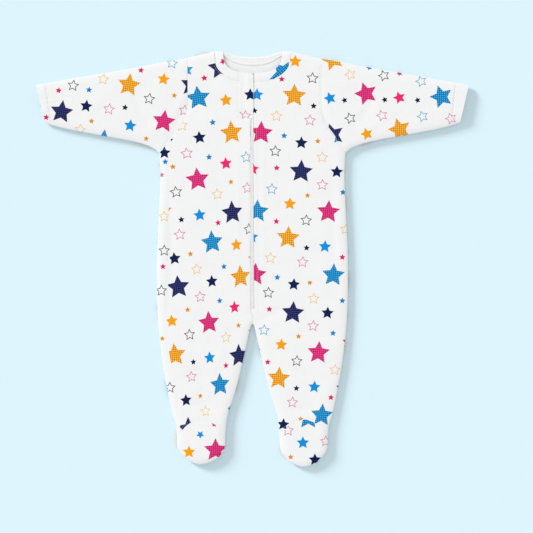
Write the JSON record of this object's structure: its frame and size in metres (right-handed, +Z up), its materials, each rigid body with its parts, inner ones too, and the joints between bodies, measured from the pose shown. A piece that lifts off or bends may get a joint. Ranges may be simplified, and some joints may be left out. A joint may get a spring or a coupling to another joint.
{
  "type": "footed baby sleepsuit",
  "caption": "Footed baby sleepsuit in white star-print cotton, laid flat: long sleeves, round neckband, front zip from neck to crotch with a guard tab, and closed feet",
  "frame": {"origin": "Centre of the garment's bounding box on the surface it lies on", "axes": "+X runs to the right as seen from above, from cuff to cuff; +Y runs from the feet to the neck; +Z is up, out of the front of the garment"},
  "size_m": [0.562, 0.5398, 0.0093],
  "materials": {
    "printed_cotton": "soft white cotton knit, printed with navy, blue, pink and orange stars",
    "zip_tape_cloth": "plain white woven tape",
    "zip_plastic": "white nylon"
  },
  "bodies": {
    "root": {"back": "printed_cotton", "front_left": "printed_cotton", "front_right": "printed_cotton", "sleeve_left": "printed_cotton", "sleeve_right": "printed_cotton", "cuff_left": "printed_cotton", "cuff_right": "printed_cotton", "neckband": "printed_cotton", "zip_guard": "printed_cotton", "foot_top_left": "printed_cotton", "foot_top_right": "printed_cotton", "sole_left": "printed_cotton", "sole_right": "printed_cotton", "zip_tape": "zip_tape_cloth", "zip_chain": "zip_plastic", "zip_slider": "zip_plastic"}
  },
  "joints": []
}
